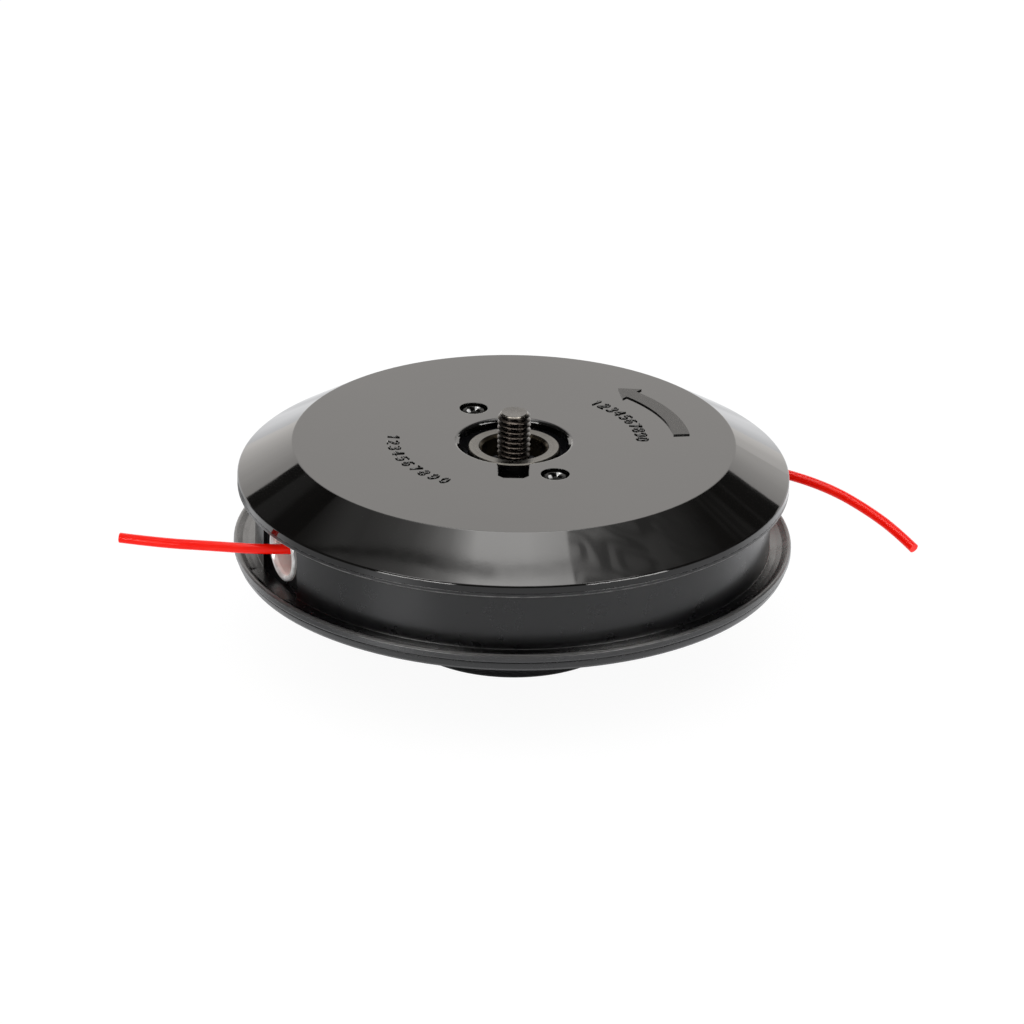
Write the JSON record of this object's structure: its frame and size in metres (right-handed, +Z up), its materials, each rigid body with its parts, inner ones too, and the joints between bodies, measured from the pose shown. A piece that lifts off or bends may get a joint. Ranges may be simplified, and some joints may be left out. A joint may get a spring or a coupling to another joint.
{
  "type": "trimmer line head",
  "caption": "Tap-feed line head for a brush cutter: coned top cover with left-hand stud, drum with eyelets, sprung line spool and tap knob, with two short line ends.",
  "frame": {"origin": "centre of the tap knob's flat bottom, where the head stands", "axes": "+Z up along the drive axis, out of the threaded stud; -Y toward the viewer of the picture, on the side of the key slot"},
  "size_m": [0.1879, 0.1318, 0.0569],
  "materials": {
    "gloss_black": "gloss",
    "satin_black": "satin",
    "nylon_black": "matt",
    "stud_steel": "dark",
    "ring_steel": "turned",
    "spring_steel": "drawn",
    "black_screw": "gloss",
    "eyelet_aluminium": "polished",
    "red_line": "gloss"
  },
  "bodies": {
    "housing": {"top_cover": "gloss_black", "hub_carrier": "nylon_black", "seat_ring": "ring_steel", "threaded_stud": "stud_steel", "cover_screws": "black_screw", "drum_housing": "satin_black", "eyelet_left": "eyelet_aluminium", "eyelet_right": "eyelet_aluminium", "bottom_cover": "satin_black", "spring_seat_washer": "spring_steel", "compression_spring": "spring_steel", "line_tail_left": "red_line", "line_tail_right": "red_line"},
    "tap_slider": {"thrust_washer": "spring_steel"},
    "spool_unit": {"spool": "nylon_black", "wound_line_lower": "red_line", "wound_line_upper": "red_line", "bump_knob": "nylon_black"}
  },
  "joints": [
    {"name": "tap_travel", "type": "slide", "parent": "housing", "child": "tap_slider", "axis": [0, 0, 1], "range_m": [0, 0.005], "stiffness_N_per_m": 1500, "springref_m": -0.012, "deforming": ["compression_spring"]},
    {"name": "spool_turn", "type": "hinge", "parent": "tap_slider", "child": "spool_unit", "pos_m": [0, 0, 0.03], "axis": [0, 0, 1], "continuous": true}
  ]
}
